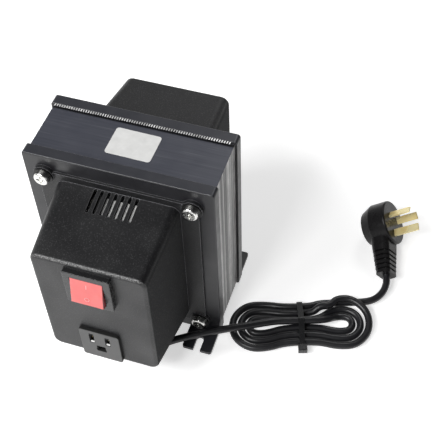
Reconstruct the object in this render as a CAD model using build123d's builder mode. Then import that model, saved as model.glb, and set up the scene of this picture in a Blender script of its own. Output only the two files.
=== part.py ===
from build123d import *
import math
import os

os.makedirs("parts", exist_ok=True)

# Travel voltage converter
# A step-down autotransformer that stands on four slotted feet. An EI core stands on edge with
# its coil axis left to right. Two black end frames hold the core, and two moulded caps cover
# the coil's ends. The front cap carries a rocker switch, a three-hole outlet and the mains lead.
# The lead lies beside the converter in a tied hank and ends in a right-angle plug.
# X is to the right, Y is to the back and Z is up. The origin is on the standing surface, under
# the middle of the converter without its lead. All sizes are in millimetres.

# Core
tongue = 56.0
stack = 55.5
core_hole = 8.0
seam_width = 0.5
seam_depth = 0.4
seam_shares = (0.16, 0.3, 0.42, 0.5, 0.66, 0.82)

# End frames
side_margin = 2.0
top_margin = 3.0
plate = 2.5
rim_depth = 8.9
frame_corner = 2.5
frame_edge = 1.0
pocket_gap = 0.15
window_gap = 2.2
foot_width = 24.3
foot_length = 22.2
foot_thickness = 2.8
foot_inset = 1.2
foot_slot = 5.9
slot_depth = 12.7
prong_corner = 1.8

# Caps
cap_depth = 62.3
coil_side_gap = 5.0
coil_top_gap = 13.7
cap_side_draft = 3.75
cap_top_draft = 10.8
cap_wall = 2.2
cap_corner = 7.0
cap_edge = 3.0
flange_side = 13.7
flange_top = 5.5
flange = 2.0
flange_corner = 4.0
boss_radius = 8.0
boss_height = 3.0

# Vents in the front cap's top wall
vent_count = 7
vent_pitch = 5.3
vent_width = 2.4
vent_front = 21.6
vent_back = 2.2

# Core bolts
bolt = 6.0
bolt_play = 0.25
head_width = 11.6
head_height = 4.0
head_dome = 1.6
cross_length = 6.4
cross_width = 1.3
cross_depth = 2.0
washer_width = 14.5
washer = 1.2
nut_width = 10.0
nut_height = 5.0
bolt_end = 2.0
sleeve_wall = 0.6
sleeve_play = 0.1

# Coil
bobbin_wall = 1.6
bobbin_flange = 1.5
coil_play = 0.4
coil_inset = 1.6
winding_corner = 9.0
tape = 0.8
cover_x = 4.0
cover_width = 30.0
cover_length = 19.0
cover_front = 2.0
cover_rise = 7.0
cover_corner = 2.0

# Rocker switch
switch_x = 0.4
switch_rise = 36.2
bezel = 35.2
bezel_proud = 4.6
bezel_corner = 1.2
bezel_edge = 0.5
rocker_width = 24.4
rocker_half = 11.6
rocker_face = 4.5
rocker_back = 2.6
rocker_sunk = 0.2
rocker_tilt = 11.0
rocker_play = 0.3
rocker_edge = 0.6
trunnion = 2.4
trunnion_length = 1.6
trunnion_play = 0.08
nose_length = 9.0
nose_radius = 1.2
nose_width = 4.0
contact_gap = 0.1
contact_thickness = 1.0
contact_width = 5.0
contact_length = 18.0
contact_button = 3.6
ridge = 0.8
ridge_play = 0.1
housing_wall = 1.6
housing_base = 2.0
base_gap = 2.8
tab_width = 6.3
tab_thickness = 0.8
tab_length = 9.0
latch_reach = 1.0
latch_width = 8.0
panel_gap = 0.2

# Outlet
outlet_x = -0.6
outlet_drop = 38.9
outlet_width = 32.0
outlet_height = 35.4
outlet_proud = 2.8
outlet_corner = 2.0
outlet_edge = 0.5
outlet_body_width = 27.0
outlet_body_height = 29.6
outlet_body_depth = 20.0
blade_spacing = 12.7
blade_rise = 7.1
earth_drop = 4.8
blade_slot = 2.4
live_slot = 6.9
neutral_slot = 8.5
earth_width = 5.6
earth_square = 3.2
mouth = 0.8
mouth_depth = 1.4
blade_pocket = 4.6
blade_pocket_height = 9.6
earth_pocket = 7.6
earth_pocket_height = 8.8
face_skin = 2.4
outlet_back = 2.0
leaf = 0.6
leaf_gap = 1.5

# Mains lead
cord = 6.0
bush_x = 28.0
bush_depth = 33.0
bush_flange = 12.0
bush_lip = 1.6
bush_neck = 9.4
bush_inside = 9.0
bush_straight = 5.0
sheath_tail = 3.0
wire_width = 2.2
wire_bend = 3.0
wire_spread = 1.35
wire_straight = 4.3
neutral_tap_x = 27.0
neutral_tap_z = 60.0
switch_tap_x = -12.0
switch_tap_z = 127.0
neck_play = 0.15
cord_play = 0.1

# Hank
hank_x = 133.0
hank_y = -1.2
hank_turn = 19.0
hank_reach = 35.1
loop_radii = (7.0, 13.8, 20.6)
strand_pitch = 6.75
waist_half = 6.0
waist_lift = 1.5
lead_start = 12.0
lead_end = 13.0
lead_straight = 9.0
layer_rise = 6.5
arc_share = 0.45

# Cable tie
tie_width = 4.6
tie_thickness = 1.1
tie_play = 0.12
tie_head_width = 7.2
tie_head_length = 6.0
tie_head_height = 5.2

# Plug
plug_x = 185.2
plug_y = 108.2
plug_turn = 9.0
plug_tilt = 34.0
plug_roll = 76.0
plug_radius = 19.2
plug_front = 15.0
plug_back = 24.4
plug_back_radius = 14.5
plug_edge = 1.5
plug_floor_gap = 0.1
neck_sunk = 10.6
neck_start = 12.0
plug_straight = 5.4
neck_end = 27.0
neck_width = 24.0
neck_height = 17.0
relief_width = 21.5
relief_height = 15.5
relief_end_width = 18.0
relief_end_height = 13.0
relief_length = 20.0
relief_ribs = 5
rib_share = 0.6
rib_depth = 2.6
pin_width = 6.35
pin_thickness = 1.55
line_pin = 19.0
earth_pin = 22.5
line_pitch = 13.7
line_rise = 3.96
earth_reach = 10.31
pin_slant = 30.0
pin_chamfer = 0.45


# Sizes worked out from the driving ones
leg = tongue / 2
window_length = 3 * leg
core_width = 5 * leg
core_height = 6 * leg
plate_width = core_width + 2 * side_margin
plate_height = core_height + 2 * top_margin
middle_z = plate_height / 2
bolt_x = (core_width - leg) / 2
bolt_z = (core_height - leg) / 2
bolt_places = [(-bolt_x, -bolt_z), (bolt_x, -bolt_z), (-bolt_x, bolt_z), (bolt_x, bolt_z)]
body_half = stack / 2 + plate
tilt = math.radians(rocker_tilt)
rocker_reach = math.hypot(rocker_half, rocker_face)
pivot_sunk = rocker_half * math.sin(tilt) * -1 + rocker_face * math.cos(tilt) + rocker_sunk
rocker_proud = rocker_half * math.sin(tilt) + rocker_face * math.cos(tilt) - pivot_sunk
core_y = (bezel_proud + rocker_proud) / 2
front_y = core_y - body_half
face_y = front_y - cap_depth
bezel_y = face_y - bezel_proud
pivot_y = bezel_y + pivot_sunk
switch_z = middle_z + switch_rise
outlet_z = middle_z - outlet_drop
hole = bolt + 2 * bolt_play


def facing_front(y, x=0, z=middle_z):
    """A drawing plane that faces the front, at depth y."""
    return Plane(origin=(x, y, z), x_dir=(1, 0, 0), z_dir=(0, -1, 0))


def save(piece, label):
    """Names a finished piece and writes its file."""
    piece.part.label = label
    export_step(piece.part, "parts/" + label + ".step")


# E laminations: a back at the left and three legs that point right
core_front = facing_front(core_y + stack / 2)
with BuildPart() as e_laminations:
    with BuildSketch(core_front):
        with Locations((-leg / 2, 0)):
            Rectangle(core_width - leg, core_height)
        with Locations((0, tongue / 2 + leg / 2), (0, -tongue / 2 - leg / 2)):
            Rectangle(window_length, leg, mode=Mode.SUBTRACT)
        with Locations((-bolt_x, bolt_z), (-bolt_x, -bolt_z)):
            Circle(core_hole / 2, mode=Mode.SUBTRACT)
    extrude(amount=stack)
    with Locations(*[(-core_width / 2, core_y + stack * (share - 1 / 2), middle_z) for share in seam_shares]):
        Box(2 * seam_depth, seam_width, core_height, mode=Mode.SUBTRACT)
save(e_laminations, "e_laminations")

# I laminations: the closing bar at the right, with the seams between its packets
with BuildPart() as i_laminations:
    with BuildSketch(core_front):
        with Locations((core_width / 2 - leg / 2, 0)):
            Rectangle(leg, core_height)
        with Locations((bolt_x, bolt_z), (bolt_x, -bolt_z)):
            Circle(core_hole / 2, mode=Mode.SUBTRACT)
    extrude(amount=stack)
    with Locations(*[(core_width / 2, core_y + stack * (share - 1 / 2), middle_z) for share in seam_shares]):
        Box(2 * seam_depth, seam_width, core_height, mode=Mode.SUBTRACT)
save(i_laminations, "i_laminations")

# Bobbin: a square tube round the middle leg, with a flange at each end
bobbin_length = window_length - 2 * coil_play
tube_inner_y = stack + 2 * coil_play
tube_inner_z = tongue + 2 * coil_play
tube_outer_y = tube_inner_y + 2 * bobbin_wall
tube_outer_z = tube_inner_z + 2 * bobbin_wall
coil_outer_y = stack + 2 * leg - 2 * coil_inset
coil_outer_z = tongue + 2 * leg - 2 * coil_inset
coil_side = Plane(origin=(-bobbin_length / 2, core_y, middle_z), x_dir=(0, 1, 0), z_dir=(1, 0, 0))
with BuildPart() as coil_bobbin:
    with BuildSketch(coil_side):
        Rectangle(tube_outer_y, tube_outer_z)
    extrude(amount=bobbin_length)
    with BuildSketch(coil_side, coil_side.offset(bobbin_length - bobbin_flange)):
        RectangleRounded(coil_outer_y, coil_outer_z, bobbin_flange)
    extrude(amount=bobbin_flange)
    with BuildSketch(coil_side):
        Rectangle(tube_inner_y, tube_inner_z)
    extrude(amount=bobbin_length, mode=Mode.SUBTRACT)
save(coil_bobbin, "coil_bobbin")

# Winding: enamelled wire in many layers, shown as one block with rounded corners
winding_y = coil_outer_y - 2 * coil_inset - 2 * tape
winding_z = coil_outer_z - 2 * coil_inset - 2 * tape
winding_length = bobbin_length - 2 * bobbin_flange
winding_side = coil_side.offset(bobbin_flange)
with BuildPart() as coil_winding:
    with BuildSketch(winding_side):
        RectangleRounded(winding_y, winding_z, winding_corner)
        Rectangle(tube_outer_y, tube_outer_z, mode=Mode.SUBTRACT)
    extrude(amount=winding_length)
save(coil_winding, "coil_winding")

# Tape: the pale wrap over the winding, which shows through the vents
taped_y = winding_y + 2 * tape
taped_z = winding_z + 2 * tape
with BuildPart() as coil_tape:
    with BuildSketch(winding_side):
        RectangleRounded(taped_y, taped_z, winding_corner + tape)
        RectangleRounded(winding_y, winding_z, winding_corner, mode=Mode.SUBTRACT)
    extrude(amount=winding_length)
save(coil_tape, "coil_tape")

# Joint cover: a folded pad of tape over the coil's soldered joints, close under the vents
with BuildPart() as joint_cover:
    with BuildSketch(coil_side.offset(bobbin_length / 2 + cover_x - cover_width / 2)):
        with Locations((cover_front + cover_length / 2 - taped_y / 2, taped_z / 2)):
            RectangleRounded(cover_length, 2 * cover_rise, cover_corner)
        RectangleRounded(taped_y, taped_z, winding_corner + tape, mode=Mode.SUBTRACT)
    extrude(amount=cover_width)
save(joint_cover, "joint_cover")


def end_frame():
    """The front end frame: a flat plate with a rim over the core and two slotted feet."""
    coil_window_width = window_length + 2 * window_gap
    coil_window_height = coil_outer_z + 2 * window_gap
    foot_middle = plate_width / 2 - foot_inset - foot_width / 2
    with BuildPart() as frame:
        with BuildSketch(facing_front(front_y + rim_depth)):
            RectangleRounded(plate_width, plate_height, frame_corner)
        extrude(amount=rim_depth)
        fillet(frame.faces().sort_by(Axis.Y)[0].edges(), frame_edge)
        with BuildSketch(facing_front(front_y + rim_depth)):
            Rectangle(core_width + 2 * pocket_gap, core_height + 2 * pocket_gap)
        extrude(amount=rim_depth - plate, mode=Mode.SUBTRACT)
        with BuildSketch(facing_front(front_y + plate)):
            Rectangle(coil_window_width, coil_window_height)
            with Locations(*bolt_places):
                Circle(hole / 2)
        extrude(amount=2 * plate, mode=Mode.SUBTRACT)
        with BuildSketch(Plane.XY):
            foot_y = front_y - foot_length / 2
            with Locations((-foot_middle, foot_y), (foot_middle, foot_y)):
                Rectangle(foot_width, foot_length)
            with Locations((-foot_middle, front_y + plate / 2), (foot_middle, front_y + plate / 2)):
                Rectangle(foot_width, plate)
        extrude(amount=foot_thickness)
        fillet(
            frame.edges().filter_by(Axis.Z).group_by(Axis.Y)[0],
            prong_corner,
        )
        with BuildSketch(Plane.XY):
            for side in (-1, 1):
                with Locations((side * foot_middle, front_y - foot_length - foot_slot / 2 + slot_depth / 2)):
                    SlotOverall(slot_depth + foot_slot, foot_slot, rotation=90)
        extrude(amount=foot_thickness, mode=Mode.SUBTRACT)
    return frame.part


middle_plane = Plane.XZ.offset(-core_y)
with BuildPart() as front_frame:
    add(end_frame())
save(front_frame, "front_frame")

with BuildPart() as rear_frame:
    add(mirror(end_frame(), about=middle_plane, mode=Mode.PRIVATE))
save(rear_frame, "rear_frame")


# The caps clear the coil, taper to their fronts and carry a flange
cap_base_width = window_length + 2 * coil_side_gap
cap_base_height = coil_outer_z + 2 * coil_top_gap
cap_front_width = cap_base_width - 2 * cap_side_draft
cap_front_height = cap_base_height - 2 * cap_top_draft
flange_width = cap_base_width + 2 * flange_side
flange_height = cap_base_height + 2 * flange_top


def cap_moulding():
    """A cap: a tapered shell with a bolted flange round its mouth."""
    with BuildPart() as cap:
        with BuildSketch(facing_front(front_y)):
            RectangleRounded(cap_base_width, cap_base_height, cap_corner)
        with BuildSketch(facing_front(face_y)):
            RectangleRounded(cap_front_width, cap_front_height, cap_corner)
        loft()
        fillet(cap.faces().sort_by(Axis.Y)[0].edges(), cap_edge)
        with BuildSketch(facing_front(front_y)):
            RectangleRounded(flange_width, flange_height, flange_corner)
        extrude(amount=flange)
        with BuildSketch(facing_front(front_y)):
            with Locations(*bolt_places):
                Circle(boss_radius)
        extrude(amount=boss_height)
        with BuildSketch(facing_front(front_y)):
            RectangleRounded(
                cap_base_width - 2 * cap_wall, cap_base_height - 2 * cap_wall, cap_corner - cap_wall
            )
        with BuildSketch(facing_front(face_y + cap_wall)):
            RectangleRounded(
                cap_front_width - 2 * cap_wall, cap_front_height - 2 * cap_wall, cap_corner - cap_wall
            )
        loft(mode=Mode.SUBTRACT)
        with BuildSketch(facing_front(front_y)):
            with Locations(*bolt_places):
                Circle(hole / 2)
        extrude(amount=boss_height, mode=Mode.SUBTRACT)
    return cap.part


# The lead leaves through the front cap's bottom wall, square to its slope
bottom_slope = math.atan2((cap_base_height - cap_front_height) / 2, cap_depth)
bush_z = middle_z - cap_base_height / 2 + bush_depth * math.tan(bottom_slope)
bush_out = Vector(0, -math.sin(bottom_slope), -math.cos(bottom_slope))
bush_plane = Plane(origin=(bush_x, front_y - bush_depth, bush_z), x_dir=(1, 0, 0), z_dir=bush_out)
rocker_room_height = 2 * (rocker_reach + rocker_play)
rocker_room_width = rocker_width + 2 * rocker_play
housing_width = rocker_room_width + 2 * housing_wall
housing_height = rocker_room_height + 2 * housing_wall
switch_face = facing_front(face_y, switch_x, switch_z)
outlet_face = facing_front(face_y, outlet_x, outlet_z)

with BuildPart() as front_cap:
    add(cap_moulding())
    with BuildSketch(switch_face.offset(-2 * cap_wall)):
        Rectangle(housing_width + 2 * panel_gap, housing_height + 2 * panel_gap)
    extrude(amount=2 * cap_wall, mode=Mode.SUBTRACT)
    with BuildSketch(outlet_face.offset(-2 * cap_wall)):
        Rectangle(outlet_body_width + 2 * panel_gap, outlet_body_height + 2 * panel_gap)
    extrude(amount=2 * cap_wall, mode=Mode.SUBTRACT)
    with BuildSketch(Plane.XY.offset(middle_z + cap_front_height / 2)):
        with Locations((0, front_y - (vent_front + vent_back) / 2)):
            with GridLocations(vent_pitch, vent_width, vent_count, 1):
                SlotOverall(vent_front - vent_back, vent_width, rotation=90)
    extrude(amount=cap_base_height / 2, mode=Mode.SUBTRACT)
    with BuildSketch(bush_plane.offset(-2 * cap_wall)):
        Circle(bush_neck / 2 + neck_play)
    extrude(amount=4 * cap_wall, mode=Mode.SUBTRACT)
save(front_cap, "front_cap")

with BuildPart() as rear_cap:
    add(mirror(cap_moulding(), about=middle_plane, mode=Mode.PRIVATE))
save(rear_cap, "rear_cap")

# Long bolts through both caps, both frames and the core
washer_front = front_y - boss_height
head_y = washer_front - washer
nut_y = 2 * core_y - washer_front + washer
with BuildPart() as core_bolts:
    with BuildSketch(facing_front(nut_y + nut_height + bolt_end)):
        with Locations(*bolt_places):
            Circle(bolt / 2)
    extrude(amount=nut_y + nut_height + bolt_end - head_y)
    with BuildSketch(facing_front(head_y)):
        with Locations(*bolt_places):
            Circle(head_width / 2)
    extrude(amount=head_height)
    fillet(
        core_bolts.edges().filter_by(GeomType.CIRCLE).group_by(Axis.Y)[0],
        head_dome,
    )
    with BuildSketch(facing_front(head_y - head_height)):
        with Locations(*bolt_places):
            Rectangle(cross_length, cross_width)
            Rectangle(cross_width, cross_length)
    extrude(amount=-cross_depth, mode=Mode.SUBTRACT)
save(core_bolts, "core_bolts")

with BuildPart() as front_washers:
    with BuildSketch(facing_front(washer_front)):
        with Locations(*bolt_places):
            Circle(washer_width / 2)
            Circle(hole / 2, mode=Mode.SUBTRACT)
    extrude(amount=washer)
save(front_washers, "front_washers")

with BuildPart() as rear_washers:
    with BuildSketch(facing_front(nut_y)):
        with Locations(*bolt_places):
            Circle(washer_width / 2)
            Circle(hole / 2, mode=Mode.SUBTRACT)
    extrude(amount=washer)
save(rear_washers, "rear_washers")

with BuildPart() as bolt_nuts:
    with BuildSketch(facing_front(nut_y + nut_height)):
        with Locations(*bolt_places):
            RegularPolygon(nut_width / 2, 6, major_radius=False)
            Circle(bolt / 2, mode=Mode.SUBTRACT)
    extrude(amount=nut_height)
save(bolt_nuts, "bolt_nuts")

# Insulating sleeves between the bolts and the laminations
with BuildPart() as bolt_sleeves:
    with BuildSketch(facing_front(core_y + stack / 2)):
        with Locations(*bolt_places):
            Circle(core_hole / 2 - sleeve_play)
            Circle(core_hole / 2 - sleeve_play - sleeve_wall, mode=Mode.SUBTRACT)
    extrude(amount=stack)
save(bolt_sleeves, "bolt_sleeves")

# Switch housing: a deep square bezel with a hollow body behind the panel
contact_drop = nose_length + nose_radius + contact_gap + contact_thickness
base_y = pivot_y + contact_drop + base_gap
housing_end = base_y + housing_base
with BuildPart() as switch_housing:
    with BuildSketch(switch_face):
        RectangleRounded(bezel, bezel, bezel_corner)
    extrude(amount=bezel_proud)
    fillet(switch_housing.faces().sort_by(Axis.Y)[0].edges(), bezel_edge)
    with BuildSketch(facing_front(housing_end, switch_x, switch_z)):
        Rectangle(housing_width, housing_height)
    extrude(amount=housing_end - face_y)
    with BuildSketch(facing_front(base_y, switch_x, switch_z)):
        Rectangle(rocker_room_width, rocker_room_height)
    extrude(amount=base_y - bezel_y, mode=Mode.SUBTRACT)
    with BuildSketch(
        Plane(origin=(switch_x, pivot_y, switch_z), x_dir=(0, 1, 0), z_dir=(1, 0, 0)).offset(
            -rocker_width / 2 - trunnion_length - rocker_play
        )
    ):
        Circle(trunnion / 2 + trunnion_play)
    extrude(amount=rocker_width + 2 * trunnion_length + 2 * rocker_play, mode=Mode.SUBTRACT)
    with BuildSketch(facing_front(housing_end, switch_x, switch_z)):
        with Locations((0, 0), (0, -contact_length / 2 + tab_thickness)):
            Rectangle(tab_width + 2 * panel_gap, tab_thickness + 2 * panel_gap)
    extrude(amount=housing_base, mode=Mode.SUBTRACT)
    for side in (-1, 1):
        with BuildSketch(facing_front(face_y + cap_wall + panel_gap + latch_width, switch_x, switch_z)):
            with Locations((0, side * (housing_height / 2 + latch_reach / 2))):
                Rectangle(latch_width, latch_reach)
        extrude(amount=latch_width)
save(switch_housing, "switch_housing")

# Rocker: a flat face on a round-ended body that turns on two trunnions
rocker_plane = Plane(
    origin=(switch_x, pivot_y, switch_z), x_dir=(0, math.cos(tilt), -math.sin(tilt)), z_dir=(1, 0, 0)
)
with BuildPart() as switch_rocker:
    with BuildSketch(rocker_plane.offset(-rocker_width / 2)):
        Circle(rocker_reach)
        with Locations(((rocker_back - rocker_face) / 2, 0)):
            Rectangle(rocker_back + rocker_face, 2 * rocker_reach, mode=Mode.INTERSECT)
    extrude(amount=rocker_width)
    fillet(switch_rocker.faces().sort_by(Axis.Y)[0].edges(), rocker_edge)
    with BuildSketch(rocker_plane.offset(-rocker_width / 2 - trunnion_length)):
        Circle(trunnion / 2)
    extrude(amount=rocker_width + 2 * trunnion_length)
    with BuildSketch(rocker_plane.offset(-nose_width / 2)):
        with Locations((nose_length / 2, 0)):
            Rectangle(nose_length, 2 * nose_radius)
        with Locations((nose_length, 0)):
            Circle(nose_radius)
    extrude(amount=nose_width)
save(switch_rocker, "switch_rocker")

# Moving contact: a see-saw strip that the rocker's nose tips over the middle terminal
contact_tilt = tilt / 2
contact_y = pivot_y + contact_drop
contact_plane = Plane(
    origin=(switch_x, contact_y, switch_z),
    x_dir=(0, math.cos(contact_tilt), math.sin(contact_tilt)),
    z_dir=(1, 0, 0),
)
with BuildPart() as switch_contact:
    with BuildSketch(contact_plane.offset(-contact_width / 2)):
        with Locations((-contact_thickness / 2, 0)):
            Rectangle(contact_thickness, contact_length)
        Circle(ridge + ridge_play, mode=Mode.SUBTRACT)
    extrude(amount=contact_width)
save(switch_contact, "switch_contact")

# Switch terminals: the ridge that the strip tips on, and the fixed contact below it
with BuildPart() as switch_terminals:
    with BuildSketch(
        Plane(origin=(switch_x, contact_y, switch_z), x_dir=(0, 1, 0), z_dir=(1, 0, 0)).offset(-tab_width / 2)
    ):
        Circle(ridge)
        with Locations(((base_gap + housing_base + tab_length) / 2, 0)):
            Rectangle(base_gap + housing_base + tab_length, tab_thickness)
        with Locations((base_gap - tab_thickness / 2, -contact_length / 2 + contact_button / 2)):
            Rectangle(tab_thickness, contact_button)
        with Locations(
            (base_gap + (housing_base + tab_length - tab_thickness) / 2, -contact_length / 2 + tab_thickness)
        ):
            Rectangle(housing_base + tab_length + tab_thickness, tab_thickness)
    extrude(amount=tab_width)
save(switch_terminals, "switch_terminals")

# Outlet: a snap-in body with two blade slots over a D-shaped earth hole
outlet_front = face_y - outlet_proud
outlet_end = face_y + outlet_body_depth
blade_x = blade_spacing / 2
with BuildPart() as outlet_body:
    with BuildSketch(outlet_face):
        RectangleRounded(outlet_width, outlet_height, outlet_corner)
    extrude(amount=outlet_proud)
    fillet(outlet_body.faces().sort_by(Axis.Y)[0].edges(), outlet_edge)
    with BuildSketch(facing_front(outlet_end, outlet_x, outlet_z)):
        Rectangle(outlet_body_width, outlet_body_height)
    extrude(amount=outlet_body_depth)
    with BuildSketch(facing_front(outlet_front, outlet_x, outlet_z)):
        with Locations((-blade_x, blade_rise)):
            Rectangle(blade_slot, neutral_slot)
        with Locations((blade_x, blade_rise)):
            Rectangle(blade_slot, live_slot)
        with Locations((0, -earth_drop)):
            Circle(earth_width / 2)
        with Locations((0, -earth_drop - earth_square / 2)):
            Rectangle(earth_width, earth_square)
    extrude(amount=-face_skin, mode=Mode.SUBTRACT)
    for across, up, width, height in (
        (-blade_x, blade_rise, blade_slot, neutral_slot),
        (blade_x, blade_rise, blade_slot, live_slot),
        (0, -earth_drop, earth_width, earth_width),
    ):
        with BuildSketch(facing_front(outlet_front, outlet_x + across, outlet_z + up)):
            Rectangle(width + 2 * mouth, height + 2 * mouth)
        with BuildSketch(facing_front(outlet_front + mouth_depth, outlet_x + across, outlet_z + up)):
            Rectangle(width, height)
        loft(mode=Mode.SUBTRACT)
    with BuildSketch(facing_front(outlet_end - outlet_back, outlet_x, outlet_z)):
        with Locations((-blade_x, blade_rise), (blade_x, blade_rise)):
            Rectangle(blade_pocket, blade_pocket_height)
        with Locations((0, -earth_drop - earth_square / 4)):
            Rectangle(earth_pocket, earth_pocket_height)
    extrude(amount=outlet_end - outlet_back - outlet_front - face_skin, mode=Mode.SUBTRACT)
    with BuildSketch(facing_front(outlet_end, outlet_x, outlet_z)):
        with Locations((-blade_x, blade_rise), (blade_x, blade_rise), (0, -earth_drop)):
            Rectangle(leaf + 2 * panel_gap, tab_width + 2 * panel_gap)
    extrude(amount=outlet_back, mode=Mode.SUBTRACT)
save(outlet_body, "outlet_body")

# Outlet contacts: two sprung leaves a blade, joined at the back to a tab
leaf_front = outlet_front + face_skin + leaf
leaf_back = outlet_end - outlet_back
with BuildPart() as outlet_contacts:
    for across, up, gap in (
        (-blade_x, blade_rise, leaf_gap),
        (blade_x, blade_rise, leaf_gap),
        (0, -earth_drop - earth_square / 4, earth_width),
    ):
        with BuildSketch(facing_front(leaf_back, outlet_x + across, outlet_z + up)):
            with Locations((-gap / 2 - leaf / 2, 0), (gap / 2 + leaf / 2, 0)):
                Rectangle(leaf, tab_width)
        extrude(amount=leaf_back - leaf_front)
        with BuildSketch(facing_front(leaf_back, outlet_x + across, outlet_z + up)):
            Rectangle(gap + 2 * leaf, tab_width)
        extrude(amount=leaf)
    for across, up in ((-blade_x, blade_rise), (blade_x, blade_rise), (0, -earth_drop)):
        with BuildSketch(facing_front(outlet_end + tab_length, outlet_x + across, outlet_z + up)):
            Rectangle(leaf, tab_width)
        extrude(amount=outlet_back + tab_length)
save(outlet_contacts, "outlet_contacts")

# Strain relief bush in the cap's bottom wall
with BuildPart() as cord_bush:
    with BuildSketch(bush_plane):
        Circle(bush_flange / 2)
    extrude(amount=bush_lip)
    with BuildSketch(bush_plane):
        Circle(bush_neck / 2)
    extrude(amount=-bush_inside)
    with BuildSketch(bush_plane.offset(-bush_inside)):
        Circle(cord / 2 + cord_play)
    extrude(amount=bush_inside + bush_lip, mode=Mode.SUBTRACT)
save(cord_bush, "cord_bush")


def tube_radii(points):
    """The radii of the arcs that join the straight runs of a free lead."""
    radii = []
    for before, point, after in zip(points, points[1:], points[2:]):
        bend = math.radians((point - before).get_angle(after - point))
        shorter = min((point - before).length, (after - point).length)
        radii.append(arc_share * shorter / math.tan(bend / 2))
    return radii


turn = math.radians(hank_turn)
hank_along = Vector(math.cos(turn), math.sin(turn), 0)
hank_across = Vector(-math.sin(turn), math.cos(turn), 0)
hank_middle = Vector(hank_x, hank_y, cord / 2)
section = math.pi * cord**2 / 4


def in_hank(along, across, up=0):
    """A point of the hank: along its length, across it and above the lowest strands."""
    return hank_middle + hank_along * along + hank_across * across + Vector(0, 0, up)


# Supply lead from the bush to the hank, over the hank's left loops
bush_down = bush_plane.z_dir
bush_exit = bush_plane.origin + bush_down * bush_lip
lead_top = waist_lift + math.sqrt(layer_rise**2 - (strand_pitch / 2) ** 2)
lead_join = in_hank(-lead_start, 0, lead_top)
supply_route = [
    bush_exit,
    bush_exit + bush_down * bush_straight,
    Vector(29.5, -58.4, 12.4),
    Vector(33.6, -54.9, 10.2),
    Vector(39.6, -49.6, 10.2),
    Vector(50.4, -42.8, 10.8),
    Vector(64.0, -35.2, 11.8),
    Vector(79.6, -26.9, 12.2),
    Vector(94.0, -19.0, 11.4),
    Vector(107.8, -11.2, 10.8),
    lead_join - hank_along * lead_straight,
    lead_join,
]
supply_radii = tube_radii(supply_route)
print("supply lead radii:", [round(radius, 1) for radius in supply_radii])
with BuildPart() as mains_cord:
    with BuildLine() as supply_line:
        FilletPolyline(*supply_route, radius=supply_radii)
    supply_path = supply_line.wires()[0]
    with BuildSketch(Plane(origin=supply_path @ 0, z_dir=supply_path % 0)):
        Circle(cord / 2)
    sweep(path=supply_path)
save(mains_cord, "mains_cord")
print("supply lead length:", round(supply_path.length, 1))
print("supply lead volume ratio:", round(mains_cord.part.volume / section / supply_path.length, 4))


def swing(start, end):
    """Two equal arcs from start to end, both lying along the hank where they begin and end."""
    middle = (start + end) / 2
    chord = middle - start
    run = hank_along * chord.dot(hank_along)
    side = chord - run
    lean = math.atan2(side.length, run.length)
    radius = chord.length / 2 / math.sin(lean)
    forward = run.normalized() * radius * math.sin(lean)
    bulge = start + forward + side.normalized() * radius * (1 - math.cos(lean))
    ThreePointArc(start, bulge, middle)
    ThreePointArc(middle, start + end - bulge, end)


def half_turn(start, end, outward):
    """Half a circle from start to end, whose far point lies outward of their middle."""
    ThreePointArc(start, (start + end) / 2 + outward * (end - start).length / 2, end)


# Hank: three loops wound outwards in one layer, drawn in at the waist. The lead comes in over
# the middle of the waist, and its end leaves under the outer loop at the far right.
far = hank_reach
climb = (waist_half + far) / 2
with BuildPart() as cord_hank:
    with BuildLine() as hank_line:
        Line(lead_join, in_hank(lead_end, 0, lead_top))
        swing(in_hank(lead_end, 0, lead_top), in_hank(far, loop_radii[0]))
        for loop, radius in enumerate(loop_radii):
            waist = strand_pitch * (loop + 1 / 2)
            outer = loop == len(loop_radii) - 1
            top = layer_rise if outer else 0
            half_turn(in_hank(far, radius, top), in_hank(far, -radius), hank_along)
            swing(in_hank(far, -radius), in_hank(waist_half, -waist, waist_lift))
            Line(in_hank(waist_half, -waist, waist_lift), in_hank(-waist_half, -waist, waist_lift))
            swing(in_hank(-waist_half, -waist, waist_lift), in_hank(-far, -radius))
            half_turn(in_hank(-far, -radius), in_hank(-far, radius), -hank_along)
            swing(in_hank(-far, radius), in_hank(-waist_half, waist, waist_lift))
            Line(in_hank(-waist_half, waist, waist_lift), in_hank(waist_half, waist, waist_lift))
            if outer:
                swing(in_hank(waist_half, waist, waist_lift), in_hank(climb, radius))
                Line(in_hank(climb, radius), in_hank(far, radius))
            elif loop == len(loop_radii) - 2:
                over = in_hank(climb, loop_radii[-1] - strand_pitch, layer_rise)
                swing(in_hank(waist_half, waist, waist_lift), over)
                swing(over, in_hank(far, loop_radii[-1], layer_rise))
            else:
                swing(in_hank(waist_half, waist, waist_lift), in_hank(far, loop_radii[loop + 1]))
    hank_path = Wire(hank_line.edges())
    with BuildSketch(Plane(origin=lead_join, z_dir=hank_along)):
        Circle(cord / 2)
    sweep(path=hank_path)
save(cord_hank, "cord_hank")
print("hank length:", round(hank_path.length, 1))
print("hank volume ratio:", round(cord_hank.part.volume / section / hank_path.length, 4))
sample = 1.5
steps = int(hank_path.length / sample)
spots = [hank_path.position_at(step / steps) for step in range(steps + 1)]
apart = int(2 * cord / sample)
closest = min(
    (spots[first] - spots[second]).length
    for first in range(steps + 1)
    for second in range(first + apart, steps + 1)
)
print("least gap of the hank to itself:", round(closest - cord, 2))

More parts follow.
